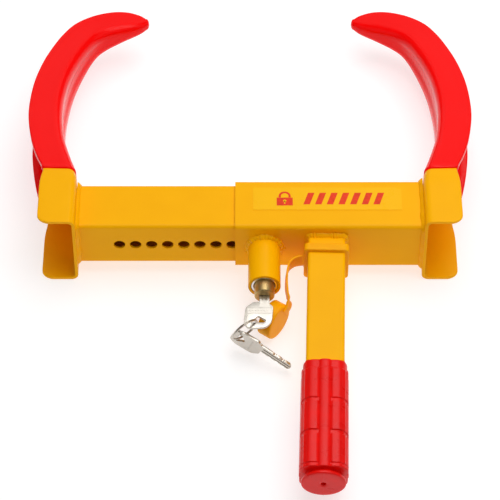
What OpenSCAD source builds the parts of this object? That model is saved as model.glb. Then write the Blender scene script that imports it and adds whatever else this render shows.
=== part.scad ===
// Adjustable tyre clamp: telescoping square beam, two hooked claws,
// push-in key lock, welded handle, tethered dust cap.
// Axes: +X to the right claw, +Y from the handle to the tyre, +Z up.

/* [Beam] */
// Outer square tube, across flats
outer_w = 50; // [50:0.5:52]
// Inner square tube, across flats
inner_w = 45; // [44:0.5:45]
// Wall of both beam tubes
beam_wall = 2; // [1.8:0.1:2.2]
// Inner faces of the two claw webs, apart at rest
web_gap = 280; // [276:2:290]
// Left end of the outer tube
outer_end = -12; // [-14:1:-10]
// Spacing of the locking holes
hole_pitch = 13; // [12.8:0.1:13.2]
// Diameter of the locking holes
hole_d = 9.4; // [9.4:0.1:9.8]
// Locking holes to the left of the lock
holes_left = 9; // [7:1:9]

/* [Claws] */
// Thickness of the pressed steel
steel_t = 2.5; // [2:0.1:3]
// Thickness of the dipped coat
coat_t = 1.2; // [1:0.1:1.4]
// Outside bend radius of the channel
bend_r = 6; // [5:0.5:7]

/* [Lock] */
// Lock axis along the beam
lock_x = 11.5; // [11:0.5:12]
// Diameter of the lock housing tube
housing_d = 26; // [26:0.5:27]
// Length of the lock housing tube
housing_l = 41; // [41:0.5:43]
// Diameter of the locking pin
pin_d = 8.8; // [8.4:0.1:8.8]

/* [Handle] */
// Handle tube, across flats
handle_w = 30; // [29:0.5:30]
// Handle axis along the beam, at the weld
handle_x = 61.7; // [60:0.1:63]
// Angle that the handle leans to the left
handle_lean = 1.6; // [0:0.2:2]
// Grip length
grip_l = 102; // [98:1:102]

/* [Cap] */
// Outside diameter of the dust cap
cap_d = 30; // [29.4:0.2:30]

/* [Hidden] */
// Beam axis in the part's frame
ax_y = 11.95;
ax_z = 36;
half_h = 36;
grip_s = 126.6;
$fn = 48;

module place() { translate([0, ax_y, ax_z]) children(); }
// local +z runs out of the lock mouth (towards -Y), local y is up
module lock_axis() { place() translate([lock_x, 0, 0]) rotate([90, 0, 0]) children(); }
// local -y runs along the handle
module on_handle() { place() translate([handle_x, -outer_w / 2, 0]) rotate([0, 0, -handle_lean]) children(); }

// rounded square made of squares and circles
module rsq(a, r) {
  square([a - 2 * r, a], center = true);
  square([a, a - 2 * r], center = true);
  for (i = [-1, 1], j = [-1, 1]) translate([i * (a / 2 - r), j * (a / 2 - r)]) circle(r = r);
}
module tube_x(a, r, w, x0, x1)
  translate([x0, 0, 0]) rotate([0, 90, 0]) linear_extrude(x1 - x0)
    difference() { rsq(a, r); rsq(a - 2 * w, r - w + 0.3); }

// ---- claw stations: inner x, inner y, outer x, outer y, half height
ST = [
  [140, -29, 162.5, -29, 36], [140, -28.2, 166, -27.6, 36], [140, -26, 168.8, -25, 36], [140, -22, 170, -21, 36],
  [140, -8, 170, -8, 36], [140, 8, 170, 8, 36], [140, 19, 169.6, 19, 36], [140.2, 25.5, 169, 26.5, 35.9],
  [142.2, 33, 169.4, 33, 35.5], [145.8, 44, 173.4, 43, 34.4], [149.6, 57, 177.6, 56, 32.9],
  [153, 71, 180.8, 71, 31.2], [155.3, 88, 183.2, 88, 29.2], [156.2, 104, 184, 103, 27.2],
  [155.8, 120, 183.2, 121, 25.3], [153.8, 137, 181.2, 138.5, 23.3], [150.8, 152, 178, 154, 21.4],
  [146.6, 166, 173.8, 169, 19.6], [141.6, 179, 168.2, 184, 17.8], [136.2, 190.5, 160.8, 200, 16],
  [130.4, 199, 150.6, 215, 14.2], [122.4, 205.2, 136.4, 226, 12.4], [112.4, 210.4, 120.4, 232.8, 10.4],
  [102.4, 215, 107, 235, 8.2], [94.4, 219.4, 96.2, 233.4, 6], [89.8, 223.4, 90.4, 230.6, 4.4]];
// Catmull-Rom through the stations, two steps to each
function cr(a, b, c, d, t) = 0.5 * (2 * b + (c - a) * t + (2 * a - 5 * b + 4 * c - d) * t * t + (3 * b - a - 3 * c + d) * t * t * t);
function stn(i) = ST[max(0, min(len(ST) - 1, i))];
function path_from(i0, n) = [for (i = [i0 : len(ST) - 2], k = [0 : n - 1]) cr(stn(i - 1), stn(i), stn(i + 1), stn(i + 2), k / n), stn(len(ST) - 1)];
function hat(v) = v / norm(v);
// shrink a station by e all round (negative grows it)
function shrink(s, e) = let (a = [s[0], s[1]], b = [s[2], s[3]], u = hat(b - a)) [a[0] + u[0] * e, a[1] + u[1] * e, b[0] - u[0] * e, b[1] - u[1] * e, s[4] - e];
// channel section: web at u=0, flanges to u=w; m fades the hollow out near the tip
function arc(cx, cy, r, a0, a1, n) = [for (i = [0 : n]) [cx + r * cos(a0 + (a1 - a0) * i / n), cy + r * sin(a0 + (a1 - a0) * i / n)]];
function csec(w, h, t, r, m) =
  let (R = min(r, h * 0.8, w * 0.45), q = max(0.4, R - t),
       hi = max(0.7, h - t), ui = t + (w - t - 0.7) * m, qi = min(q, hi * 0.6, max(0.2, (w - ui) * 0.6)))
  concat([[w, h]], arc(R, h - R, R, 90, 180, 3), arc(R, -h + R, R, 180, 270, 3), [[w, -h]],
    [[w, -hi]], arc(ui + qi, -hi + qi, qi, 270, 180, 3), arc(ui + qi, hi - qi, qi, 180, 90, 3), [[w, hi]]);
NS = 20;
function ring_at(s, t, r, m) = let (a = [s[0], s[1]], b = [s[2], s[3]], w = norm(b - a), u = (b - a) / w)
  [for (p = csec(w, s[4], t, r, m)) [a[0] + u[0] * p[0], a[1] + u[1] * p[0], p[1]]];
function fade(i, n) = let (k = (i - (n - 7)) / 5) k < 0 ? 0 : k > 1 ? 1 : k;
function strip(o, n, m, flip) = [for (i = [0 : n - 2], j = [0 : m - 1]) let (a = o + i * m + j, b = o + i * m + (j + 1) % m, c = a + m, d = b + m)
  each (flip ? [[a, c, b], [b, c, d]] : [[a, b, c], [b, d, c]])];
// matching quads that close one C section
function ccap(o, flip) = [for (j = [0 : NS / 2 - 2]) let (a = o + j, b = o + j + 1, c = o + NS - 1 - j, d = o + NS - 2 - j)
  each (flip ? [[a, c, b], [b, c, d]] : [[a, b, c], [b, d, c]])];
// the steel is drawn in by the coat from station 8 on
STEEL = [for (i = [0 : 2 * (len(ST) - 1)]) let (p = path_from(0, 2)[i]) shrink(p, coat_t * max(0, min(1, (i - 11) / 4)))];
SN = len(STEEL);
C0 = 15; // first coated ring of the steel
module claw_steel() {
  pts = [for (i = [0 : SN - 1]) each ring_at(STEEL[i], steel_t, bend_r, fade(i, SN))];
  polyhedron(pts, concat(strip(0, SN, NS, false), ccap(0, true), ccap((SN - 1) * NS, false)));
}
function tip_shift(s, e) = [s[0] - e * 0.9, s[1] + e * 0.4, s[2] - e, s[3] - e * 0.1, s[4] * 0.8];
module claw_coat() {
  inner = [for (i = [C0 : SN - 1]) ring_at(STEEL[i], steel_t, bend_r, fade(i, SN))];
  o_st = concat([for (i = [C0 : SN - 1]) shrink(STEEL[i], -coat_t)], [tip_shift(shrink(STEEL[SN - 1], -coat_t), coat_t)]);
  outer = [for (i = [0 : len(o_st) - 1]) ring_at(o_st[i], steel_t + 2 * coat_t, bend_r + coat_t, fade(min(i + C0, SN - 1), SN))];
  pts = [for (rr = concat(inner, outer)) each rr];
  ni = len(inner); no = len(outer);
  rim = [for (j = [0 : NS - 1]) let (a = j, b = (j + 1) % NS, c = ni * NS + j, d = ni * NS + (j + 1) % NS) each [[a, b, c], [b, d, c]]];
  polyhedron(pts, concat(strip(0, ni, NS, true), ccap((ni - 1) * NS, true),
    strip(ni * NS, no, NS, false), ccap((ni + no - 1) * NS, false), rim));
}
// square fillet bead round a tube end, apex side towards +x
module bead(a, leg) difference() {
  hull() { translate([-leg, -a / 2, -a / 2]) cube([0.01, a, a]); translate([-0.01, -a / 2 - leg, -a / 2 - leg]) cube([0.01, a + 2 * leg, a + 2 * leg]); }
  translate([-leg - 1, -a / 2, -a / 2]) cube([leg + 2, a, a]);
}

module outer_tube() color("gold") place() difference() {
  tube_x(outer_w, 3.5, beam_wall, outer_end, web_gap / 2);
  translate([lock_x, -outer_w / 2 + beam_wall + 2, 0]) rotate([90, 0, 0]) cylinder(d = pin_d + 1, h = beam_wall + 4);
}
module inner_tube() color("gold") place() difference() {
  tube_x(inner_w, 3, beam_wall, -web_gap / 2, 45);
  for (n = [-2 : holes_left]) translate([lock_x - n * hole_pitch, -inner_w / 2 + beam_wall + 2, 0]) rotate([90, 0, 0]) cylinder(d = hole_d, h = beam_wall + 4);
}
module right_claw() color("gold") place() claw_steel();
module left_claw() color("gold") place() mirror([1, 0, 0]) claw_steel();
module right_claw_coat() color("red") place() claw_coat();
module left_claw_coat() color("red") place() mirror([1, 0, 0]) claw_coat();
module right_claw_weld() color("gold") place() translate([web_gap / 2, 0, 0]) bead(outer_w, 3);
module left_claw_weld() color("gold") place() mirror([1, 0, 0]) translate([web_gap / 2, 0, 0]) bead(inner_w, 3);
module beam_label() color("orange") place() translate([62.5, 5, outer_w / 2]) linear_extrude(0.3) {
  square([118, 24], center = true); square([120, 22], center = true);
  for (i = [-1, 1], j = [-1, 1]) translate([i * 59, j * 11]) circle(r = 1);
}

// ---- lock, heights along the lock axis from the beam's axis
hz0 = outer_w / 2;
hz1 = outer_w / 2 + housing_l;
rp_y = -7.5;
rp_z = 57;
module roll_hole(d) translate([-20, rp_y, rp_z]) rotate([0, 90, 0]) cylinder(d = d, h = 40);
module lock_housing() color("gold") lock_axis() difference() {
  translate([0, 0, hz0]) cylinder(d = housing_d, h = housing_l);
  translate([0, 0, hz0 - 1]) cylinder(d = 22.1, h = housing_l + 2);
  roll_hole(2.44);
}
module lock_housing_weld() color("gold") lock_axis() rotate_extrude() polygon([[housing_d / 2, hz0], [housing_d / 2 + 3, hz0], [housing_d / 2 + 1.1, hz0 + 1.2], [housing_d / 2, hz0 + 3]]);
module lock_sleeve() color("silver") lock_axis() difference() {
  rotate_extrude() polygon([[0, hz0], [11, hz0], [11, hz1 - 1.1], [10.4, hz1 - 0.5], [9, hz1 - 0.5], [8.1, hz1 - 1.6], [8.1, 29], [0, 29]]);
  translate([0, 0, hz0 - 1]) cylinder(d = pin_d + 0.8, h = 6);
  roll_hole(2.44);
}
module lock_retaining_pin() color("silver") lock_axis() translate([-10.2, rp_y, rp_z]) rotate([0, 90, 0]) difference() {
  cylinder(d = 2.4, h = 20.4);
  translate([0, 0, -1]) cylinder(d = 1.2, h = 23);
}
// coil of round wire
function coil_pt(t, R, r, n, z0, L, a) = let (q = 360 * n * t) [(R + r * cos(a)) * cos(q), (R + r * cos(a)) * sin(q), z0 + r + (L - 2 * r) * t + r * sin(a)];
module coil(R, r, n, z0, L, seg = 12, k = 8) {
  m = n * seg;
  polyhedron([for (i = [0 : m], j = [0 : k - 1]) coil_pt(i / m, R, r, n, z0, L, -360 * j / k)],
    concat(strip(0, m + 1, k, false), [[for (j = [0 : k - 1]) k - 1 - j]], [[for (j = [0 : k - 1]) m * k + j]]));
}
module main_spring() color("silver") lock_axis() coil(6, 0.55, 6, 29.2, 18.6);
module lock_barrel() color("darkgoldenrod") lock_axis() difference() {
  rotate_extrude() polygon([[0, 48], [7.4, 48], [8, 48.6], [8, 75.4], [7.4, 76], [0, 76]]);
  translate([0, 0, 47]) cylinder(d = 11.1, h = 28);
  translate([0, 0, 74]) cylinder(d = 9.4, h = 3);
  translate([-4.65, -5.4, 51.2]) cube([9.3, 15, 2.8]);
  translate([-9, -9, 55.4]) cube([18, 3, 13.4]);
}
module locking_pin() color("silver") lock_axis() rotate_extrude() polygon([[0, 24], [pin_d / 2 - 1, 24], [pin_d / 2, 25], [pin_d / 2, 48], [5.52, 48], [5.52, 51], [0, 51]]);
WZ = [58, 61, 64, 67, 70];
module lock_plug() color("goldenrod") lock_axis() difference() {
  union() {
    translate([0, 0, 54.3]) cylinder(d = 11, h = 20.5);
    translate([0, 0, 54.3]) cylinder(d = 9.2, h = 21.7);
    translate([1.5, 0, 51.9]) cylinder(d = 2.4, h = 3);
  }
  translate([-4.2, -1.3, 55.6]) cube([8.4, 2.6, 22]);
  for (z = WZ) translate([-5, -2.7, z - 0.6]) cube([10, 5.4, 1.2]);
}
module plug_wafers() color("khaki") lock_axis() for (z = WZ) translate([0, 0, z - 0.45]) difference() {
  translate([-4.8, -2.5, 0]) cube([9.6, 5, 0.9]);
  translate([-4.25, -1.45, -1]) cube([8.5, 2.9, 3]);
}
module side_latch() color("silver") lock_axis() difference() {
  intersection() {
    translate([-4.5, -3.4, 51.5]) cube([9, 12, 2.2]);
    translate([0, 0, 50]) cylinder(r = 7.9, h = 6);
  }
  translate([-3.2, -1.7, 50]) cube([6.6, 3.4, 6]);
}

// ---- handle
module handle_tube() color("gold") on_handle() translate([0, -0.45, 0]) rotate([90, 0, 0]) linear_extrude(220) difference() { rsq(handle_w, 2.5); rsq(handle_w - 4, 1); }
module handle_weld() color("gold") difference() {
  on_handle() translate([0, -0.45, 0]) rotate([0, 0, 90]) bead(handle_w, 3);
  place() translate([20, -25, -40]) cube([90, 5, 80]);
}
module handle_grip() color("red") on_handle() difference() {
  translate([0, -grip_s, 0]) rotate([90, 0, 0]) {
    linear_extrude(8) rsq(35.2, 7);
    difference() {
      translate([0, 0, 8]) linear_extrude(grip_l - 8) rsq(37.2, 9);
      translate([0, 0, grip_l - 3.3]) rotate([10, 0, 0]) translate([-30, -30, 0]) cube([60, 60, 20]);
    }
    translate([0, 0, grip_l + 2.15]) rotate([5.2, 0, 0]) {
      translate([0, 0, -14]) cylinder(d = 29, h = 13);
      cylinder(d = 34.4, h = 3.2, center = true);
    }
  }
  translate([0, -grip_s + 1, 0]) rotate([90, 0, 0]) linear_extrude(220.45 - grip_s + 1) rsq(handle_w, 2.5);
  translate([0, -grip_s - grip_l - 8, 0]) rotate([-90, 0, 0]) cylinder(d = 4, h = 8);
}

// ---- dust cap, its collar on the handle and the strap between them
module cap_collar() color("orange") on_handle() translate([0, -10.4, 0]) rotate([90, 0, 0]) linear_extrude(7.4) difference() { rsq(handle_w + 6, 3.5); rsq(handle_w, 2.5); }
cap_c = [23.6, -86.2, -21];
module cap_axis() place() translate(cap_c) rotate([0, 0, -34.8]) rotate([0, 90, 0]) children();
module dust_cap() color("orange") cap_axis() rotate_extrude() polygon([[0, 0], [cap_d / 2 - 1, 0], [cap_d / 2, -1], [cap_d / 2, -11], [cap_d / 2 - 0.6, -11.5], [13.35, -11.5], [13.35, -2], [0, -2]]);
// route: x, y, z, then the width direction, then the width
STRAP = [
  [42.4, -39, 0, 0, 0, 1, 12.5], [39, -39.3, -0.2, 0, 0, 1, 12.3], [35, -40.8, -0.6, 0, -0.04, 1, 12],
  [31.6, -44.2, -1.2, 0.05, -0.06, 1, 11.6], [29.8, -49.5, -2, 0.1, -0.02, 1, 11], [29.2, -56, -3.4, 0.1, 0.05, 1, 10.4],
  [29.2, -62.5, -5.2, 0.08, 0.16, 1, 10], [30, -68.6, -7.4, -0.05, 0.3, 1, 9.8], [31.2, -73.2, -10, -0.2, 0.3, 0.9, 9.6], [30.6, -77.2, -12.9, -0.34, -0.46, 0.82, 9.6], [27.8, -80.6, -15.4, -0.34, -0.46, 0.82, 9.6]];
function tan_at(i) = hat([for (k = [0 : 2]) STRAP[min(len(STRAP) - 1, i + 1)][k] - STRAP[max(0, i - 1)][k]]);
module strap_shape() {
  n = len(STRAP);
  t = 0.75;
  pts = [for (i = [0 : n - 1]) let (s = STRAP[i], p = [s[0], s[1], s[2]], g = tan_at(i), w0 = hat([s[3], s[4], s[5]]), w = hat(w0 - g * (w0 * g)), q = cross(g, w), b = s[6] / 2)
    each [p + w * b + q * t, p - w * b + q * t, p - w * b - q * t, p + w * b - q * t]];
  polyhedron(pts, concat(strip(0, n, 4, false), [[0, 3, 2], [0, 2, 1]], [[(n - 1) * 4, (n - 1) * 4 + 1, (n - 1) * 4 + 2], [(n - 1) * 4, (n - 1) * 4 + 2, (n - 1) * 4 + 3]]));
}
module cap_strap() color("orange") place() strap_shape();

// ---- keys: blade along +x, flat in the xy plane, origin at the hole
module key_flat(th) linear_extrude(th, center = true) difference() {
  union() {
    polygon([[18.6, -4.4], [13.2, -10.8], [-2.3, -12.4], [-8, -8.9], [-7, 5.4], [-0.8, 10], [13.7, 11.2], [18.1, 6.7]]);
    translate([0, 4.2]) polygon([[16.5, -4], [25.5, -4], [26.5, -3.2], [28, -3.2], [29, -4], [32, -4], [33, -2.9], [34.5, -2.9], [35.5, -4], [39, -4], [40, -3.4], [41, -4], [43.3, -4], [45.3, -1.6],
      [45.3, 1.6], [43.3, 4], [38.5, 4], [37.5, 3.1], [36, 3.1], [35, 4], [31, 4], [30, 3.3], [29, 3.3], [28, 4], [16.5, 4]]);
  }
  polygon([[-2.3, -7], [4.5, -1], [0.1, 5.4], [-2.3, 3.9]]);
}
module key() color("silver") lock_axis() translate([-4.2, 0, 101]) rotate([0, 90, 0]) rotate([90, 0, 0]) key_flat(2.2);
module key_ring() color("silver") place() translate([-4.15, -106.29, -4.52]) rotate([77.17, 0, -143.2]) rotate_extrude() translate([11.5, 0]) circle(r = 0.8, $fn = 24);
module spare_key() color("silver") place() translate([-6.84, -104.42, -17.19]) rotate([94.85, 20.7, -26.9]) key_flat(2.2);

outer_tube();
right_claw();
right_claw_coat();
right_claw_weld();
lock_housing();
lock_housing_weld();
lock_sleeve();
lock_retaining_pin();
main_spring();
handle_tube();
handle_weld();
handle_grip();
beam_label();
cap_collar();
inner_tube();
left_claw();
left_claw_coat();
left_claw_weld();
lock_barrel();
locking_pin();
lock_plug();
plug_wafers();
side_latch();
key();
key_ring();
spare_key();
dust_cap();
cap_strap();
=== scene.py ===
import bpy, bmesh, math
import numpy as np
from mathutils import Vector, Matrix, noise


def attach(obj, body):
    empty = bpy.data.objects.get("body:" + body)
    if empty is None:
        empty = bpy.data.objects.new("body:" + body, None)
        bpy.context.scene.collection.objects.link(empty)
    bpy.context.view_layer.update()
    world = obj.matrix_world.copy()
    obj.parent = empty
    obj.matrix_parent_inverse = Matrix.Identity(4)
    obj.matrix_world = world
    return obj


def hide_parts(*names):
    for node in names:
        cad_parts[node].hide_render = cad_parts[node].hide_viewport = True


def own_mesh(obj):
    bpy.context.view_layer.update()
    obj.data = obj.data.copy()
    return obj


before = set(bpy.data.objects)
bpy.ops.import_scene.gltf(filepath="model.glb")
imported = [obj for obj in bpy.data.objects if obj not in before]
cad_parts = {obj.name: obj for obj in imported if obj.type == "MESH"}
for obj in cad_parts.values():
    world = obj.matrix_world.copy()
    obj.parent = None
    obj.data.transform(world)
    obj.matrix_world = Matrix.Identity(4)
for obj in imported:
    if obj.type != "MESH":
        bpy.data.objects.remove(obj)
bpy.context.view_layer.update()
scene = bpy.context.scene
MM = 0.001
AY, AZ = 11.95, 36.0            # beam axis in the part's frame, mm


def P(x, y, z):
    return Vector((x * MM, (y + AY) * MM, (z + AZ) * MM))


# ------------------------------------------------------------ camera, light, floor
cam_data = bpy.data.cameras.new("camera")
cam = bpy.data.objects.new("camera", cam_data)
scene.collection.objects.link(cam)
cam.location = P(0, -1373.6, 1609.8)
cam.rotation_euler = (math.radians(90 - 50.109), 0, 0)
cam_data.sensor_width = 36
cam_data.lens = 187.2
cam_data.clip_end = 30
cam_data.dof.use_dof = False
scene.camera = cam
scene.view_settings.view_transform = "Standard"

world = bpy.data.worlds.new("studio")
scene.world = world
world.use_nodes = True
wn = world.node_tree.nodes
wn["Background"].inputs[0].default_value = (1, 1, 1, 1)
wn["Background"].inputs[1].default_value = 0.17


def area(name, loc, target, size, power, size_y=None):
    d = bpy.data.lights.new(name, "AREA")
    d.energy = power
    d.size = size
    if size_y:
        d.shape = "RECTANGLE"
        d.size_y = size_y
    o = bpy.data.objects.new(name, d)
    scene.collection.objects.link(o)
    o.location = loc
    o.rotation_euler = (Vector(target) - Vector(loc)).to_track_quat("-Z", "Y").to_euler()
    return o


area("key_top", (0.25, 0.15, 1.5), (0, 0, 0), 1.6, 19, 1.2)
area("fill_left", (-1.3, -0.5, 0.9), (0, 0, 0.03), 1.2, 1.6)
area("fill_right", (1.4, -0.1, 0.9), (0, 0, 0.03), 1.2, 2.0)
area("back_soft", (0, 1.3, 1.0), (0, 0.1, 0.03), 1.4, 3.8)


def new_mesh(name, verts, faces, smooth=True):
    me = bpy.data.meshes.new(name)
    me.from_pydata([tuple(v) for v in verts], [], faces)
    me.update()
    o = bpy.data.objects.new(name, me)
    scene.collection.objects.link(o)
    if smooth:
        for p in me.polygons:
            p.use_smooth = True
    return o


floor = new_mesh("floor", [(-6, -6, 0), (6, -6, 0), (6, 6, 0), (-6, 6, 0)], [(0, 1, 2, 3)], False)
floor.location.z = -0.0004


# ------------------------------------------------------------ materials
def material(name, base, rough, metallic=0.0, coat=0.0, coat_rough=0.05, spec=0.5,
             var=0.06, var_scale=60, fine_scale=900, bump=0.05, bump_dist=0.0001,
             rough_var=0.06, dark=None, dark_scale=25, dark_amount=0.0, sss=0.0, stretch=None):
    m = bpy.data.materials.new(name)
    m.use_nodes = True
    nt = m.node_tree
    b = nt.nodes["Principled BSDF"]
    tc = nt.nodes.new("ShaderNodeTexCoord")
    mp = nt.nodes.new("ShaderNodeMapping")
    nt.links.new(tc.outputs["Object"], mp.inputs["Vector"])
    if stretch:
        mp.inputs["Scale"].default_value = stretch
    n1 = nt.nodes.new("ShaderNodeTexNoise")
    n1.inputs["Scale"].default_value = var_scale
    n1.inputs["Detail"].default_value = 4
    nt.links.new(mp.outputs["Vector"], n1.inputs["Vector"])
    ramp = nt.nodes.new("ShaderNodeValToRGB")
    lo = tuple(max(0, c * (1 - var)) for c in base) + (1,)
    hi = tuple(min(1, c * (1 + var)) for c in base) + (1,)
    ramp.color_ramp.elements[0].color = lo
    ramp.color_ramp.elements[0].position = 0.3
    ramp.color_ramp.elements[1].color = hi
    ramp.color_ramp.elements[1].position = 0.7
    nt.links.new(n1.outputs["Fac"], ramp.inputs["Fac"])
    colour = ramp.outputs["Color"]
    if dark is not None:
        n3 = nt.nodes.new("ShaderNodeTexNoise")
        n3.inputs["Scale"].default_value = dark_scale
        n3.inputs["Detail"].default_value = 8
        n3.inputs["Roughness"].default_value = 0.7
        nt.links.new(mp.outputs["Vector"], n3.inputs["Vector"])
        r3 = nt.nodes.new("ShaderNodeValToRGB")
        r3.color_ramp.elements[0].position = 0.60
        r3.color_ramp.elements[0].color = (0, 0, 0, 1)
        r3.color_ramp.elements[1].position = 0.74
        r3.color_ramp.elements[1].color = (dark_amount,) * 3 + (1,)
        nt.links.new(n3.outputs["Fac"], r3.inputs["Fac"])
        mx = nt.nodes.new("ShaderNodeMix")
        mx.data_type = "RGBA"
        nt.links.new(r3.outputs["Color"], mx.inputs[0])
        nt.links.new(colour, mx.inputs[6])
        mx.inputs[7].default_value = tuple(dark) + (1,)
        colour = mx.outputs[2]
    nt.links.new(colour, b.inputs["Base Color"])
    n2 = nt.nodes.new("ShaderNodeTexNoise")
    n2.inputs["Scale"].default_value = fine_scale
    n2.inputs["Detail"].default_value = 3
    nt.links.new(mp.outputs["Vector"], n2.inputs["Vector"])
    mr = nt.nodes.new("ShaderNodeMapRange")
    mr.inputs["To Min"].default_value = max(0.02, rough - rough_var)
    mr.inputs["To Max"].default_value = min(1, rough + rough_var)
    nt.links.new(n1.outputs["Fac"], mr.inputs["Value"])
    nt.links.new(mr.outputs["Result"], b.inputs["Roughness"])
    bp = nt.nodes.new("ShaderNodeBump")
    bp.inputs["Strength"].default_value = bump
    bp.inputs["Distance"].default_value = bump_dist
    nt.links.new(n2.outputs["Fac"], bp.inputs["Height"])
    nt.links.new(bp.outputs["Normal"], b.inputs["Normal"])
    b.inputs["Metallic"].default_value = metallic
    b.inputs["Specular IOR Level"].default_value = spec
    b.inputs["Coat Weight"].default_value = coat
    b.inputs["Coat Roughness"].default_value = coat_rough
    if sss:
        b.inputs["Subsurface Weight"].default_value = sss
        b.inputs["Subsurface Radius"].default_value = (1.0, 0.35, 0.05)
        b.inputs["Subsurface Scale"].default_value = 0.002
    return m


M_YELLOW = material("yellow_powder_coat", (1.0, 0.46, 0.0005), 0.3, coat=0.0, spec=0.07, var=0.025,
                    var_scale=35, fine_scale=650, bump=0.22, bump_dist=0.00008, rough_var=0.05)
M_COAT = material("red_dipped_pvc", (1.0, 0.0, 0.0), 0.19, coat=0.0, spec=0.15, var=0.02, var_scale=30,
                  fine_scale=220, bump=0.2, bump_dist=0.0003, rough_var=0.05)
M_GRIP = material("red_moulded_grip", (0.84, 0.003, 0.001), 0.3, coat=0.0, spec=0.22, var=0.06, var_scale=80,
                  fine_scale=1500, bump=0.35, bump_dist=0.00012, rough_var=0.1)
M_CAP = material("yellow_soft_plastic", (1.0, 0.42, 0.0005), 0.45, coat=0.0, spec=0.1, var=0.04, var_scale=120,
                 fine_scale=1400, bump=0.25, bump_dist=0.0001, rough_var=0.08, sss=0.12)
M_LABEL = material("label_film", (1.0, 0.51, 0.002), 0.28, spec=0.1, var=0.02, var_scale=50, fine_scale=500, bump=0.04, rough_var=0.04)
M_PRINT = material("label_print", (0.8, 0.04, 0.002), 0.34, spec=0.2, var=0.12, var_scale=400, fine_scale=1600, bump=0.1, bump_dist=0.00003)
M_CHROME = material("chrome_plate", (0.78, 0.77, 0.75), 0.09, metallic=1, var=0.05, var_scale=200, fine_scale=1500, bump=0.05, rough_var=0.04)
M_BRASS = material("worn_brass", (0.60, 0.43, 0.18), 0.4, metallic=1, var=0.07, var_scale=160, fine_scale=1600, bump=0.08,
                   bump_dist=0.00003, dark=(0.3, 0.2, 0.08), dark_scale=190, dark_amount=0.35, stretch=(1, 0.3, 1))
M_NICKEL = material("nickel_key", (0.58, 0.54, 0.48), 0.3, metallic=1, var=0.05, var_scale=140, fine_scale=1400, bump=0.1,
                    bump_dist=0.00002, rough_var=0.08, dark=(0.33, 0.28, 0.22), dark_scale=160, dark_amount=0.3)
M_STEEL = material("zinc_steel", (0.55, 0.55, 0.54), 0.3, metallic=1, var=0.1, var_scale=200, fine_scale=1800, bump=0.15,
                   dark=(0.2, 0.19, 0.18), dark_scale=300, dark_amount=0.4)
M_FLOOR = bpy.data.materials.new("studio_floor")
M_FLOOR.use_nodes = True
fb = M_FLOOR.node_tree.nodes["Principled BSDF"]
fb.inputs["Base Color"].default_value = (0.42, 0.42, 0.42, 1)
fb.inputs["Emission Color"].default_value = (1, 1, 1, 1)
fb.inputs["Emission Strength"].default_value = 0.66
fb.inputs["Roughness"].default_value = 0.7
floor.data.materials.append(M_FLOOR)


def paint(o, m):
    o.data.materials.clear()
    o.data.materials.append(m)


def finish_piece(o, body, slot, m, *nodes):
    paint(o, m)
    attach(o, body)
    if nodes:
        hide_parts(*nodes)
    return o


NODE_M = {
    "outer_tube": M_YELLOW, "inner_tube": M_YELLOW, "handle_tube": M_YELLOW, "lock_housing": M_YELLOW,
    "right_claw": M_YELLOW, "left_claw": M_YELLOW, "right_claw_weld": M_YELLOW, "left_claw_weld": M_YELLOW,
    "lock_housing_weld": M_YELLOW, "handle_weld": M_YELLOW, "right_claw_coat": M_COAT, "left_claw_coat": M_COAT,
    "handle_grip": M_GRIP, "beam_label": M_LABEL, "cap_collar": M_CAP, "dust_cap": M_CAP, "cap_strap": M_CAP,
    "lock_sleeve": M_CHROME, "lock_retaining_pin": M_STEEL, "main_spring": M_STEEL, "locking_pin": M_STEEL,
    "side_latch": M_STEEL, "lock_barrel": M_BRASS, "lock_plug": M_BRASS, "plug_wafers": M_BRASS,
    "key": M_NICKEL, "key_ring": M_NICKEL, "spare_key": M_NICKEL,
}
for n, m in NODE_M.items():
    paint(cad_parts[n], m)
for n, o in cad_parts.items():
    for p in o.data.polygons:
        p.use_smooth = True
    es = o.modifiers.new("edges", "EDGE_SPLIT")
    es.split_angle = math.radians(24)

# ------------------------------------------------------------ claws
ST = np.array([
  [140, -29, 162.5, -29, 36], [140, -28.2, 166, -27.6, 36], [140, -26, 168.8, -25, 36], [140, -22, 170, -21, 36],
  [140, -8, 170, -8, 36], [140, 8, 170, 8, 36], [140, 19, 169.6, 19, 36], [140.2, 25.5, 169, 26.5, 35.9],
  [142.2, 33, 169.4, 33, 35.5], [145.8, 44, 173.4, 43, 34.4], [149.6, 57, 177.6, 56, 32.9],
  [153, 71, 180.8, 71, 31.2], [155.3, 88, 183.2, 88, 29.2], [156.2, 104, 184, 103, 27.2],
  [155.8, 120, 183.2, 121, 25.3], [153.8, 137, 181.2, 138.5, 23.3], [150.8, 152, 178, 154, 21.4],
  [146.6, 166, 173.8, 169, 19.6], [141.6, 179, 168.2, 184, 17.8], [136.2, 190.5, 160.8, 200, 16],
  [130.4, 199, 150.6, 215, 14.2], [122.4, 205.2, 136.4, 226, 12.4], [112.4, 210.4, 120.4, 232.8, 10.4],
  [102.4, 215, 107, 235, 8.2], [94.4, 219.4, 96.2, 233.4, 6], [89.8, 223.4, 90.4, 230.6, 4.4]], float)
STEEL_T, COAT_T, BEND_R = 2.5, 1.2, 6.0


def station(s):
    i = min(int(s), len(ST) - 2)
    t = s - i
    a, b, c, d = (ST[max(0, min(len(ST) - 1, k))] for k in (i - 1, i, i + 1, i + 2))
    return 0.5 * (2 * b + (c - a) * t + (2 * a - 5 * b + 4 * c - d) * t * t + (3 * b - a - 3 * c + d) * t ** 3)


def shrink(s, e):
    u = s[2:4] - s[0:2]
    u = u / np.linalg.norm(u)
    return np.array([s[0] + u[0] * e, s[1] + u[1] * e, s[2] - u[0] * e, s[3] - u[1] * e, s[4] - e])


def smooth01(x):
    x = max(0.0, min(1.0, x))
    return x * x * (3 - 2 * x)


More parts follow.
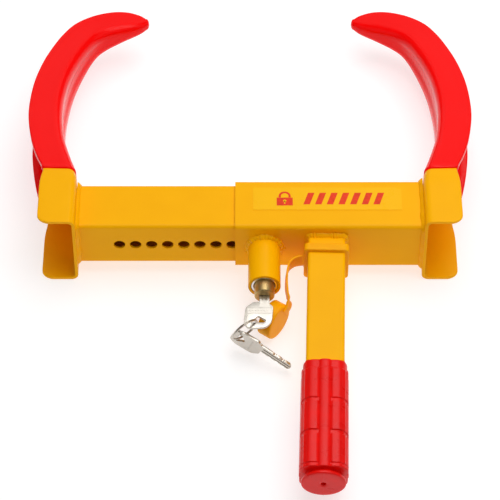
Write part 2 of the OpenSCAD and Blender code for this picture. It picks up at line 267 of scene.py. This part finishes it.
def fillet(cx, cy, r, a0, a1, n):
    return [(cx + r * math.cos(math.radians(a0 + (a1 - a0) * i / n)), cy + r * math.sin(math.radians(a0 + (a1 - a0) * i / n))) for i in range(n + 1)]


def csection(w, h, t, r, m, groove):
    R = min(r, h * 0.8, w * 0.45)
    q = max(0.4, R - t)
    hi = max(0.7, h - t)
    ui = t + (w - t - 0.7) * m
    qi = min(q, hi * 0.6, max(0.2, (w - ui) * 0.6))
    e = min(t * 0.42, (h - hi) * 0.45, 0.9 + 0.3 * (t > 3))
    pts = fillet(w - e, h - e, e, 0, 90, 5)
    pts += [(w - e - (w - e - R) * k / 5, h) for k in range(1, 5)]
    pts += fillet(R, h - R, R, 90, 180, 9)
    nv = 22
    gw = min(9.0, h * 0.36)
    for k in range(1, nv):
        v = (h - R) + (-2 * (h - R)) * k / nv
        g = groove * smooth01(1.35 - abs(v) / gw) if h - R > 1 else 0
        pts.append((g, v))
    pts += fillet(R, -h + R, R, 180, 270, 9)
    pts += [(R + (w - e - R) * k / 5, -h) for k in range(1, 5)]
    pts += fillet(w - e, -h + e, e, 270, 360, 5)
    # back along the inside
    pts += fillet(w - e, -hi - e, e, 0, 90, 5)
    pts += [(w - e + (ui + qi - w + e) * k / 5, -hi) for k in range(1, 5)]
    pts += fillet(ui + qi, -hi + qi, qi, 270, 180, 7)
    for k in range(1, nv):
        v = -(hi - qi) + 2 * (hi - qi) * k / nv
        g = groove * smooth01(1.35 - abs(v) / gw) * (1 - m) if hi - qi > 1 else 0
        pts.append((ui + g, v))
    pts += fillet(ui + qi, hi - qi, qi, 180, 90, 7)
    pts += [(ui + qi + (w - e - ui - qi) * k / 5, hi) for k in range(1, 5)]
    pts += fillet(w - e, hi + e, e, 270, 360, 5)
    return pts


def ring3(s, t, r, m, groove, side):
    a, b = s[0:2], s[2:4]
    w = np.linalg.norm(b - a)
    u = (b - a) / w
    return [P(side * (a[0] + u[0] * p[0]), a[1] + u[1] * p[0], p[1]) for p in csection(w, s[4], t, r, m, groove)]


S_END = len(ST) - 1.0
COAT_S = 7.5


def groove_at(s):
    return 1.6 * smooth01((s - 6.2) / 2.5) * smooth01((21.5 - s) / 4)


def fade(s):
    return smooth01((2 * s - (2 * S_END + 1 - 7)) / 5) if s < S_END else 1.0


def steel_st(s):
    return shrink(station(s), COAT_T * max(0, min(1, (2 * s - 11) / 4)))


def claw(side, name, body):
    sv = list(np.concatenate([np.arange(0, 3, 0.1), np.arange(3, 6, 0.25), np.arange(6, 9, 0.1), [9.0, 9.2, 9.5]]))
    rings = [ring3(steel_st(s), STEEL_T, BEND_R, 0, groove_at(s), side) for s in sv]
    n = len(rings[0])
    verts = [v for r in rings for v in r]
    faces = []
    for i in range(len(rings) - 1):
        for j in range(n):
            a, b = i * n + j, i * n + (j + 1) % n
            faces.append((a, b, b + n, a + n) if side > 0 else (a, a + n, b + n, b))
    faces.append(tuple(range(n))[::-1] if side > 0 else tuple(range(n)))
    last = (len(rings) - 1) * n
    faces.append(tuple(last + k for k in range(n)) if side > 0 else tuple(last + k for k in range(n))[::-1])
    o = new_mesh(name + "_pressing", verts, faces)
    o.modifiers.new("edges", "EDGE_SPLIT").split_angle = math.radians(50)
    finish_piece(o, body, "yellow_paint", M_YELLOW, name)
    # dipped coat, with a rounded lip and a slightly uneven skin
    sv = list(np.arange(COAT_S, COAT_S + 0.6, 0.04)) + list(np.arange(COAT_S + 0.6, S_END, 0.11)) + [S_END]
    rings = []
    for k, s in enumerate(sv):
        lip = smooth01((s - COAT_S) / 0.22) ** 0.5
        grow = 0.15 + (COAT_T - 0.15) * lip
        if COAT_S + 0.1 < s < COAT_S + 0.9:
            grow += 0.18 * math.exp(-((s - COAT_S - 0.32) / 0.16) ** 2)
        rings.append(ring3(shrink(steel_st(s), -grow), STEEL_T + 2 * grow, BEND_R + grow, fade(s), groove_at(s), side))
    # rounded nose past the last ring
    base = shrink(steel_st(S_END), -COAT_T)
    for f in (0.35, 0.62, 0.83, 0.96, 1.0):
        c = (base[0:2] + base[2:4]) / 2
        k = math.sqrt(max(0.0, 1 - f * f)) * 0.98 + 0.02
        st = base.copy()
        adv = np.array([-3.0, 1.2]) * f * 0.8
        st[0:2] = c + (base[0:2] - c) * k + adv
        st[2:4] = c + (base[2:4] - c) * k + adv
        st[4] = base[4] * k
        rings.append(ring3(st, min(STEEL_T + 2 * COAT_T, st[4] * 0.8), BEND_R, 1.0, 0, side))
    verts = []
    for r in rings:
        for v in r:
            d = noise.noise(Vector((v.x * 45, v.y * 45, v.z * 45)))
            verts.append(v + Vector((0, 0, 0.00006 * d)))
    faces = []
    for i in range(len(rings) - 1):
        for j in range(n):
            a, b = i * n + j, i * n + (j + 1) % n
            faces.append((a, b, b + n, a + n) if side > 0 else (a, a + n, b + n, b))
    last = (len(rings) - 1) * n
    faces.append(tuple(range(n))[::-1] if side > 0 else tuple(range(n)))
    faces.append(tuple(last + k for k in range(n)) if side > 0 else tuple(last + k for k in range(n))[::-1])
    o = new_mesh(name + "_dipped_coat", verts, faces)
    o.modifiers.new("edges", "EDGE_SPLIT").split_angle = math.radians(60)
    finish_piece(o, body, "red_coat", M_COAT, name + "_coat")


claw(1, "right_claw", "frame")
claw(-1, "left_claw", "slider")

# ------------------------------------------------------------ loft helpers
def loft(name, rings, closed_ends=(True, True), split=None, flip=False):
    n = len(rings[0])
    verts = [v for r in rings for v in r]
    faces = []
    for i in range(len(rings) - 1):
        for j in range(n):
            a, b = i * n + j, i * n + (j + 1) % n
            faces.append((a, b, b + n, a + n))
    if closed_ends[0]:
        faces.append(tuple(range(n))[::-1])
    if closed_ends[1]:
        last = (len(rings) - 1) * n
        faces.append(tuple(last + k for k in range(n)))
    if flip:
        faces = [f[::-1] for f in faces]
    o = new_mesh(name, verts, faces)
    bm = bmesh.new()
    bm.from_mesh(o.data)
    bmesh.ops.recalc_face_normals(bm, faces=bm.faces)
    bm.to_mesh(o.data)
    bm.free()
    for p in o.data.polygons:
        p.use_smooth = True
    if split:
        o.modifiers.new("edges", "EDGE_SPLIT").split_angle = math.radians(split)
    return o


def closed_loft(name, rings, split=None):
    return loft(name, rings + [rings[0]], (False, False), split)


HX, LEAN = 61.7, math.radians(1.6)


def H(x, s, z):
    """Point of the handle: x across, s along it from the beam's face, z up."""
    c, q = math.cos(LEAN), math.sin(LEAN)
    return P(HX + x * c - s * q, -25 - s * c - x * q, z)


def rsq_points(hw, r, n_arc=8, n_flat=20):
    pts = []
    for k, (cx, cz) in enumerate(((1, 1), (-1, 1), (-1, -1), (1, -1))):
        for i in range(n_arc):
            a = math.radians(90 * k + 90 * i / n_arc)
            pts.append((cx * (hw - r) + r * math.cos(a), cz * (hw - r) + r * math.sin(a)))
        a = math.radians(90 * (k + 1))
        p0 = (cx * (hw - r) + r * math.cos(a), cz * (hw - r) + r * math.sin(a))
        nx, nz = ((-1, 1), (-1, -1), (1, -1), (1, 1))[k]
        p1 = (nx * (hw - r) + r * math.cos(a), nz * (hw - r) + r * math.sin(a))
        for i in range(n_flat):
            t = i / n_flat
            pts.append((p0[0] + (p1[0] - p0[0]) * t, p0[1] + (p1[1] - p0[1]) * t))
    return pts


# ------------------------------------------------------------ moulded grip
def sstep(x, a, b):
    return smooth01((x - a) / (b - a))


G0 = 126.6
GROOVES = [(8.0, 9.2), (37.2, 40.4), (67.4, 71.0), (94.6, 96.2)]
G_END, G_TILT = 98.7, 0.176


def build_grip():
    base = rsq_points(18.0, 8.6)
    rings = []

    def ring(s, hw, detail=True):
        out = []
        k = hw / 18.0
        tilt = G_TILT * sstep(s - G0, 80, G_END - 5)
        for (x, z) in base:
            r = math.hypot(x, z)
            f = x if abs(z) >= abs(x) else z
            d = 0.0
            if detail:
                inside = 1.0
                for a, b in GROOVES[1:]:
                    inside = min(inside, 1 - sstep(s - G0, a - 0.25, a + 0.25) * (1 - sstep(s - G0, b - 0.25, b + 0.25)))
                af = abs(f)
                rib = math.sqrt(max(0.0, 1 - (af / 4.4) ** 2))
                body = sstep(s - G0, 8.2, 9.0)
                block = sstep(af, 5.0, 5.5) * (1 - sstep(af, 13.0, 13.5))
                corner = sstep(af, 14.2, 14.7)
                d = 1.25 * rib + body * (0.85 * block * inside + 0.75 * corner * inside) - 0.35 * (1 - inside) * (1 - min(1, rib * 3))
            out.append(H(x * k + d * x / r, s + tilt * z * k, z * k + d * z / r))
        return out

    def round_ring(s, rad, tilt=0.09):
        out = []
        for (x, z) in base:
            a = math.atan2(z, x)
            xx, zz = rad * math.cos(a), rad * math.sin(a)
            out.append(H(xx, s + tilt * zz, zz))
        return out

    # inner mouth, rounded lip, collar
    rings.append([H(x * 15.06 / 18.0, G0 + 6, z * 15.06 / 18.0) for x, z in rsq_points(18.0, 3)])
    rings.append([H(x * 15.1 / 18.0, G0 + 0.6, z * 15.1 / 18.0) for x, z in rsq_points(18.0, 3)])
    rings.append([H(x * 15.6 / 18.0, G0 + 0.1, z * 15.6 / 18.0) for x, z in rsq_points(18.0, 4)])
    rings.append(ring(G0, 15.9, False))
    for a in (22, 45, 67, 90):
        q = math.radians(a)
        rings.append(ring(G0 + 1.6 * (1 - math.cos(q)), 15.9 + 1.2 * math.sin(q)))
    s = G0 + 2.0
    while s < G0 + 8.0:
        rings.append(ring(s, 17.1)); s += 0.6
    while s < G0 + G_END - 0.9:
        t = (s - G0 - 8.2) / 93
        rings.append(ring(s, 17.0 + 0.35 * sstep(s, G0 + 8.2, G0 + 9.0) + 0.3 * t)); s += 0.3
    for a in (0, 30, 60, 85):
        q = math.radians(a)
        rings.append(ring(G0 + G_END - 0.8 + 0.8 * math.sin(q), 17.65 - 0.9 * (1 - math.cos(q))))
    rings.append(round_ring(G0 + G_END + 0.02, 15.2, G_TILT))
    rings.append(round_ring(G0 + G_END + 0.15, 14.6, G_TILT))
    rings.append(round_ring(G0 + 101.6, 14.4))
    rings.append(round_ring(G0 + 102.2, 14.7))
    rings.append(round_ring(G0 + 102.5, 15.6))
    for a in (0, 30, 60, 90):
        q = math.radians(a)
        rings.append(round_ring(G0 + 103.5 - 0.8 * math.cos(q), 16.4 + 0.75 * math.sin(q)))
    for a in (0, 30, 60, 90):
        q = math.radians(a)
        rings.append(round_ring(G0 + 104.5 + 1.15 * math.sin(q), 17.15 - 1.15 * (1 - math.cos(q))))
    for rad in (14, 11, 8, 5, 3.2):
        rings.append(round_ring(G0 + 105.68, rad))
    rings.append(round_ring(G0 + 105.4, 2.3))
    rings.append(round_ring(G0 + 104.8, 1.95))
    rings.append(round_ring(G0 + 102.2, 1.9))
    o = loft("moulded_grip", rings, (False, True), split=48)
    finish_piece(o, "frame", "red_grip", M_GRIP, "handle_grip")
    # mould parting line down the end face
    pts = []
    for z in np.linspace(-16.6, 16.6, 40):
        if abs(z) < 2.6:
            continue
        pts.append(z)
    for half, zs in (("low", [z for z in pts if z < 0]), ("high", [z for z in pts if z > 0])):
        rr = [[H(dx, G0 + 105.62 + dy + 0.09 * z, z) for dx, dy in ((-0.22, 0), (-0.1, 0.14), (0.1, 0.14), (0.22, 0))] for z in zs]
        o = loft("grip_parting_line_" + half, rr)
        finish_piece(o, "frame", "red_grip", M_GRIP)


build_grip()


# ------------------------------------------------------------ weld beads
def bead_piece(name, path, body, node, leg=3.2, n_sec=9, ripple=0.16, pitch=2.3, seed=0):
    """path: list of (point, outward, along-surface) with outward off the wall and along down the tube, all in metres."""
    rings = []
    dist = 0.0
    prev = None
    for p, out, up in path:
        if prev is not None:
            dist += (p - prev).length / MM
        prev = p
        ph = (dist / pitch) % 1.0
        wav = 1 + ripple * (0.5 - 0.5 * math.cos(2 * math.pi * ph)) * (0.6 + 0.8 * noise.noise(Vector((dist * 0.21, seed, 4.3)))) + 0.3 * noise.noise(Vector((dist * 0.11, seed, 0.3)))
        L = leg * wav
        ring = [p - out * 0.0003 - up * 0.0003]
        for i in range(n_sec):
            a = math.radians(90 * i / (n_sec - 1))
            k = 1.0 - 0.16 * math.sin(2 * a)
            ring.append(p + out * (L * MM * math.sin(a) * k) + up * (L * MM * math.cos(a) * k))
        rings.append(ring)
    o = closed_loft(name, rings, split=60)
    finish_piece(o, body, "yellow_paint", M_YELLOW, node)
    return o


def circle_path(cx, r, y, n=220):
    res = []
    for i in range(n):
        a = 2 * math.pi * i / n
        o = Vector((math.cos(a), 0, math.sin(a)))
        res.append((P(cx + r * math.cos(a), y, r * math.sin(a)), o, Vector((0, -1, 0))))
    return res


def square_path(fn, hw, r, out_fn, up):
    res = []
    for x, z in rsq_points(hw, r, 8, 34):
        cx, cz = max(-(hw - r), min(hw - r, x)), max(-(hw - r), min(hw - r, z))
        o = Vector((x - cx, z - cz))
        o = o.normalized() if o.length > 1e-9 else Vector((0, 1))
        res.append((fn(x, z), out_fn(o.x, o.y), up))
    return res


bead_piece("housing_weld_bead", circle_path(11.5, 13.0, -25.0), "frame", "lock_housing_weld", leg=2.5, pitch=4.1, ripple=0.3)
cl, sl = math.cos(LEAN), math.sin(LEAN)
bead_piece("handle_weld_bead", square_path(lambda x, z: H(x, 0.1, z), 15.0, 2.5, lambda a, b: Vector((a * cl, -a * sl, b)), Vector((-sl, -cl, 0))),
           "frame", "handle_weld", leg=2.3, ripple=0.5, seed=3)
bead_piece("right_claw_weld_bead", square_path(lambda y, z: P(140, y, z), 25.0, 3.5, lambda a, b: Vector((0, a, b)), Vector((-1, 0, 0))),
           "frame", "right_claw_weld", leg=2.9, seed=5)
bead_piece("left_claw_weld_bead", square_path(lambda y, z: P(-140, y, z), 22.5, 3.0, lambda a, b: Vector((0, a, b)), Vector((1, 0, 0))),
           "slider", "left_claw_weld", leg=2.9, seed=7)


def blob(name, centre, r, flat, body):
    bm = bmesh.new()
    bmesh.ops.create_icosphere(bm, subdivisions=3, radius=r * MM)
    for v in bm.verts:
        d = 1 + 0.18 * noise.noise(v.co * 900)
        v.co = Vector((v.co.x * d, v.co.y * flat * d, v.co.z * d)) + centre
    me = bpy.data.meshes.new(name)
    bm.to_mesh(me)
    bm.free()
    o = bpy.data.objects.new(name, me)
    scene.collection.objects.link(o)
    for p in me.polygons:
        p.use_smooth = True
    finish_piece(o, body, "yellow_paint", M_YELLOW)


blob("weld_spatter_a", P(27.6, -25.1, -1.5), 1.5, 0.6, "frame")
blob("weld_spatter_b", P(-2.8, -25.05, 3.5), 0.9, 0.5, "frame")
blob("weld_spatter_c", P(134.2, -25.0, -9), 0.8, 0.5, "frame")

# ------------------------------------------------------------ dust cap, collar and strap
CAPC = (23.6, -86.2, -21.0)
ca = math.radians(-34.8)
AXV = Vector((math.cos(ca), math.sin(ca), 0))     # from the mouth to the closed end
TVV = Vector((-math.sin(ca), math.cos(ca), 0))


def cap_point(a, r, ang):
    return P(*CAPC) + AXV * (a * MM) + (TVV * math.cos(ang) + Vector((0, 0, 1)) * math.sin(ang)) * (r * MM)


prof = [(0, 0.01), (0, 4), (0, 9), (0, 12.6), (-0.06, 13.7), (-0.35, 14.4), (-0.8, 14.78), (-1.4, 14.95), (-3, 14.98), (-6, 14.93), (-8, 14.9), (-10.2, 14.93),
        (-10.9, 14.9), (-11.3, 14.7), (-11.5, 14.4), (-11.5, 14.0), (-11.35, 13.6), (-10.9, 13.4), (-9, 13.35), (-7, 13.35), (-5, 13.35), (-3, 13.2), (-2.4, 12.8), (-2.05, 12.1), (-2, 9), (-2, 4), (-2, 0.01)]
NA = 96
rings = []
for a, r in prof:
    rings.append([cap_point(a, r * (1 + 0.004 * math.sin(2 * t + 0.5)) if r > 1 else r, t) for t in (2 * math.pi * k / NA for k in range(NA))])
cap_o = loft("dust_cap_cup", rings, (True, True), split=55)
finish_piece(cap_o, "cap", "cap_plastic", M_CAP, "dust_cap")
# moulding gate mark in the middle of the closed end
rr = [[cap_point(a, r, t) for t in (2 * math.pi * k / 24 for k in range(24))] for a, r in ((-0.02, 2.1), (0.01, 1.9), (0.01, 1.2), (-0.02, 0.9), (-0.02, 0.01))]
finish_piece(loft("dust_cap_gate_mark", rr, (False, True)), "cap", "cap_plastic", M_CAP)

crings = []
for s, g in ((10.4, 0.7), (10.55, 0.35), (10.9, 0.08), (11.4, 0.0), (13.4, 0.0), (15.6, 0.05), (16.9, 0.0), (17.4, 0.1), (17.7, 0.4), (17.8, 0.8)):
    crings.append([H(x, s, z) for x, z in rsq_points(18.0 - g, 3.5)])
inner = [[H(x, s, z) for x, z in rsq_points(15.03, 2.6)] for s in (17.8, 14.0, 10.4)]
o = closed_loft("cap_collar_ring", crings + inner, split=50)
finish_piece(o, "frame", "cap_plastic", M_CAP, "cap_collar")

STRAP = np.array([
  [42.4, -39, 0, 0, 0, 1, 12.5], [39, -39.3, -0.2, 0, 0, 1, 12.3], [35, -40.8, -0.6, 0, -0.04, 1, 12],
  [31.6, -44.2, -1.2, 0.05, -0.06, 1, 11.6], [29.8, -49.5, -2, 0.1, -0.02, 1, 11], [29.2, -56, -3.4, 0.1, 0.05, 1, 10.4],
  [29.2, -62.5, -5.2, 0.08, 0.16, 1, 10], [30, -68.6, -7.4, -0.05, 0.3, 1, 9.8], [31.2, -73.2, -10, -0.2, 0.3, 0.9, 9.6],
  [30.6, -77.2, -12.9, -0.34, -0.46, 0.82, 9.6], [27.8, -80.6, -15.4, -0.34, -0.46, 0.82, 9.6]])


def crom(A, s):
    i = min(int(s), len(A) - 2)
    t = s - i
    a, b, c, d = (A[max(0, min(len(A) - 1, k))] for k in (i - 1, i, i + 1, i + 2))
    return 0.5 * (2 * b + (c - a) * t + (2 * a - 5 * b + 4 * c - d) * t * t + (3 * b - a - 3 * c + d) * t ** 3)


rings = []
sv = np.linspace(0, len(STRAP) - 1, 160)
for k, s in enumerate(sv):
    v = crom(STRAP, s)
    g = Vector(crom(STRAP, min(s + 0.05, len(STRAP) - 1))[:3] - crom(STRAP, max(s - 0.05, 0))[:3]).normalized()
    w = Vector(v[3:6]).normalized()
    w = (w - g * g.dot(w)).normalized()
    q = g.cross(w)
    p = P(*v[:3])
    flash = 0.42 * abs(noise.noise(Vector((k * 0.33, 1.7, 0)))) + (0.5 if noise.noise(Vector((k * 0.71, 9.1, 0))) > 0.36 else 0)
    b = v[6] / 2
    t = 0.75
    sec = [(b - 0.25, t), (b, t - 0.3), (b, -t + 0.3), (b - 0.25, -t), (b * 0.33, -t), (-b * 0.33, -t), (-b + 0.5, -t), (-b + 0.1, -t + 0.3), (-b - flash * 0.4, -0.22),
           (-b - flash, -0.05), (-b - flash, 0.08), (-b - flash * 0.4, 0.25), (-b + 0.1, t - 0.3), (-b + 0.5, t), (-b * 0.33, t), (b * 0.33, t)]
    rings.append([p + w * (x * MM) + q * (y * MM) for x, y in sec])
finish_piece(loft("cap_strap_strip", rings, (True, True), split=45), "cap", "cap_plastic", M_CAP, "cap_strap")
# moulded boss where the strap's living hinge meets the collar
rr = []
for x, g in ((-18.4, 0.6), (-18.1, 0.0), (-17.4, 0.0)):
    rr.append([H(x, 14.1 + 2.6 * math.copysign(abs(math.cos(t)) ** 0.6, math.cos(t)) * (1 - g * 0.2), 7.4 * math.copysign(abs(math.sin(t)) ** 0.6, math.sin(t)) * (1 - g * 0.1)) for t in (2 * math.pi * k / 32 for k in range(32))])
finish_piece(loft("collar_strap_boss", rr, (True, True), split=50), "frame", "cap_plastic", M_CAP)

# ------------------------------------------------------------ keys
K_OUT = [[18.6, -4.4], [13.2, -10.8], [-2.3, -12.4], [-8, -8.9], [-7, 5.4], [-0.8, 10], [13.7, 11.2], [16.65, 8.2],
         [28, 8.2], [29, 7.5], [30, 7.5], [31, 8.2], [35, 8.2], [36, 7.3], [37.5, 7.3], [38.5, 8.2], [43.3, 8.2], [45.3, 5.8],
         [45.3, 2.6], [43.3, 0.2], [41, 0.2], [40, 0.8], [39, 0.2], [35.5, 0.2], [34.5, 1.3], [33, 1.3], [32, 0.2], [29, 0.2], [28, 1.0], [26.5, 1.0], [25.5, 0.2], [18.4, 0.2]]
K_HOLE = [[-2.3, -7], [4.5, -1], [0.1, 5.4], [-2.3, 3.9]]


def round_poly(pts, radii, n=6):
    out = []
    m = len(pts)
    for i in range(m):
        p, a, b = Vector(pts[i]), Vector(pts[i - 1]), Vector(pts[(i + 1) % m])
        u, v = (a - p), (b - p)
        r = min(radii[i] if hasattr(radii, "__len__") else radii, u.length * 0.45, v.length * 0.45)
        p0, p1 = p + u.normalized() * r, p + v.normalized() * r
        for k in range(n + 1):
            t = k / n
            out.append((1 - t) ** 2 * p0 + 2 * t * (1 - t) * p + t * t * p1)
    return out


def plate(name, outline, holes, half, bevel):
    cu = bpy.data.curves.new(name + "_c", "CURVE")
    cu.dimensions = "2D"
    cu.fill_mode = "BOTH"
    for pts in [outline] + holes:
        sp = cu.splines.new("POLY")
        sp.points.add(len(pts) - 1)
        for i, q in enumerate(pts):
            sp.points[i].co = (q[0] * MM, q[1] * MM, 0, 1)
        sp.use_cyclic_u = True
    cu.extrude = (half - bevel) * MM
    cu.bevel_depth = bevel * MM
    cu.bevel_resolution = 3
    cu.offset = -bevel * MM
    o = bpy.data.objects.new(name + "_t", cu)
    scene.collection.objects.link(o)
    bpy.context.view_layer.update()
    dg = bpy.context.evaluated_depsgraph_get()
    me = bpy.data.meshes.new_from_object(o.evaluated_get(dg))
    bpy.data.objects.remove(o)
    mo = bpy.data.objects.new(name, me)
    scene.collection.objects.link(mo)
    bm = bmesh.new()
    bm.from_mesh(me)
    bmesh.ops.remove_doubles(bm, verts=bm.verts, dist=1e-6)
    bmesh.ops.recalc_face_normals(bm, faces=bm.faces)
    bm.to_mesh(me)
    bm.free()
    return mo


def box_mesh(bm, x0, x1, y0, y1, z0, z1, ang=0.0):
    m = bmesh.ops.create_cube(bm, size=1.0)
    for v in m["verts"]:
        v.co = Vector(((v.co.x * (x1 - x0)), (v.co.y * (y1 - y0)), (v.co.z * (z1 - z0))))
        v.co = Matrix.Rotation(ang, 3, "Z") @ v.co
        v.co += Vector(((x0 + x1) / 2, (y0 + y1) / 2, (z0 + z1) / 2))
        v.co *= MM


def cut(o, fn):
    bm = bmesh.new()
    fn(bm)
    me = bpy.data.meshes.new("cutter")
    bm.to_mesh(me)
    bm.free()
    c = bpy.data.objects.new("cutter", me)
    scene.collection.objects.link(c)
    md = o.modifiers.new("cut", "BOOLEAN")
    md.operation = "DIFFERENCE"
    md.solver = "EXACT"
    md.object = c
    bpy.context.view_layer.update()
    dg = bpy.context.evaluated_depsgraph_get()
    me2 = bpy.data.meshes.new_from_object(o.evaluated_get(dg))
    o.modifiers.clear()
    o.data = me2
    bpy.data.objects.remove(c)


def key_mesh(name):
    o = plate(name, round_poly(K_OUT, [1.2, 2.6, 3.5, 3.5, 3.5, 3.5, 2.6, 0.8] + [0.5] * 24, 4), [round_poly(K_HOLE, 0.9, 4)], 1.1, 0.22)

    def grooves(bm):
        # long milled grooves on the blade, shallow frame lines and a diagonal field on the bow
        for sgn in (1, -1):
            z0, z1 = (0.45, 2.0) if sgn > 0 else (-2.0, -0.45)
            box_mesh(bm, 19.5, 48, 5.1, 6.5, z0, z1)
            box_mesh(bm, 19.5, 48, 1.8, 3.1, z0, z1)
            zz0, zz1 = (0.93, 2.0) if sgn > 0 else (-2.0, -0.93)
            for k in range(7):
                box_mesh(bm, 9.4 - 0.25, 9.4 + 0.25, -7.6 + 2.3 * k - 0.8, -7.6 + 2.3 * k + 0.8, zz0, zz1, math.radians(35))
            box_mesh(bm, 6.7, 7.1, -9.2, 9.4, zz0, zz1)
            box_mesh(bm, 12.1, 12.5, -9.2, 9.4, zz0, zz1)
    cut(o, grooves)
    for p in o.data.polygons:
        p.use_smooth = True
    o.modifiers.new("edges", "EDGE_SPLIT").split_angle = math.radians(32)
    return o


def euler_xyz(a, b, c):
    return (Matrix.Rotation(math.radians(c), 4, "Z") @ Matrix.Rotation(math.radians(b), 4, "Y") @ Matrix.Rotation(math.radians(a), 4, "X"))


ko = key_mesh("main_key_plate")
# local x of the key runs into the lock (+Y), its width runs across the beam
KM = Matrix.Translation(P(11.5, 0, 0)) @ Matrix.Rotation(math.radians(90), 4, "X") @ Matrix.Translation(Vector((-4.2, 0, 101)) * MM) @ Matrix.Rotation(math.radians(90), 4, "Y") @ Matrix.Rotation(math.radians(90), 4, "X")
ko.data.transform(KM)
finish_piece(ko, "main_key", "nickel", M_NICKEL, "key")
so = key_mesh("spare_key_plate")
so.data.transform(Matrix.Translation(P(-6.84, -104.42, -17.19)) @ euler_xyz(94.85, 20.7, -26.9))
finish_piece(so, "second_key", "nickel", M_NICKEL, "spare_key")

# split ring, two turns of flattened wire
RM = Matrix.Translation(P(-4.15, -106.29, -4.52)) @ euler_xyz(77.17, 0, -143.2)
rings = []
turns, seg = 1.94, 150
for i in range(seg + 1):
    t = i / seg
    a = 2 * math.pi * turns * t
    off = -0.5 + 1.0 * smooth01((t * turns - 0.62) / 0.55)
    R = 11.5
    ring = []
    for k in range(10):
        q = 2 * math.pi * k / 10
        x, y = (0.78 * math.cos(q)), (0.46 * math.sin(q))
        ring.append(RM @ (Vector(((R + x) * math.cos(a), (R + x) * math.sin(a), off + y)) * MM))
    rings.append(ring)
finish_piece(loft("split_ring", rings, (True, True), split=60), "ring", "nickel", M_NICKEL, "key_ring")

# ------------------------------------------------------------ printed label: a padlock sign and slanted bars, no lettering
def flat_shape(name, polys, mat, z=25.3, h=0.06):
    verts, faces = [], []
    for poly in polys:
        n = len(poly)
        o = len(verts)
        verts += [P(x, y, z) for x, y in poly] + [P(x, y, z + h) for x, y in poly]
        faces.append(tuple(o + n + i for i in range(n)))
        for i in range(n):
            j = (i + 1) % n
            faces.append((o + i, o + j, o + n + j, o + n + i))
    ob = new_mesh(name, verts, faces, False)
    finish_piece(ob, "frame", "label", mat)
    return ob


def band(cx, cy, r0, r1, a0, a1, n=18):
    out = [(cx + r1 * math.cos(math.radians(a0 + (a1 - a0) * i / n)), cy + r1 * math.sin(math.radians(a0 + (a1 - a0) * i / n))) for i in range(n + 1)]
    out += [(cx + r0 * math.cos(math.radians(a1 + (a0 - a1) * i / n)), cy + r0 * math.sin(math.radians(a1 + (a0 - a1) * i / n))) for i in range(n + 1)]
    return out


LX, LY = 28.0, 5.0
polys = [[(LX - 6.5, LY - 7.4), (LX + 6.5, LY - 7.4), (LX + 6.5, LY + 1.0), (LX - 6.5, LY + 1.0)],
         band(LX, LY + 2.6, 3.1, 4.9, 0, 180),
         [(LX - 4.9, LY + 1.2), (LX - 3.1, LY + 1.2), (LX - 3.1, LY + 2.6), (LX - 4.9, LY + 2.6)],
         [(LX + 3.1, LY + 1.2), (LX + 4.9, LY + 1.2), (LX + 4.9, LY + 2.6), (LX + 3.1, LY + 2.6)]]
for k in range(7):
    x = 43 + 9.4 * k
    polys.append([(x, LY - 6.2), (x + 5.2, LY - 6.2), (x + 9.2, LY + 6.2), (x + 4.0, LY + 6.2)])
flat_shape("label_print_signs", polys, M_PRINT)
flat_shape("label_keyhole", [band(LX, LY - 2.4, 0.01, 1.35, 0, 360, 24)[:25], [(LX - 0.6, LY - 5.6), (LX + 0.6, LY - 5.6), (LX + 0.5, LY - 2.6), (LX - 0.5, LY - 2.6)]], M_LABEL, z=25.37, h=0.03)

# ------------------------------------------------------------ main spring
def spring():
    rings, turns, seg = [], 6.0, 300
    for i in range(seg + 1):
        t = i / seg
        a = 2 * math.pi * turns * t
        # closed end coils, open coils between them
        h = 29.78 + 17.44 * (t + 0.055 * math.sin(2 * math.pi * 2 * (t - 0.5)))
        ring = []
        for j in range(10):
            q = 2 * math.pi * j / 10
            R = 6 + 0.55 * math.cos(q)
            ring.append(P(11.5 + R * math.cos(a), -(h + 0.55 * math.sin(q)), R * math.sin(a)))
        rings.append(ring)
    o = loft("lock_main_spring", rings, (True, True), split=60)
    o.modifiers.clear()
    finish_piece(o, "frame", "steel", M_STEEL, "main_spring")
    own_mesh(o)


spring()
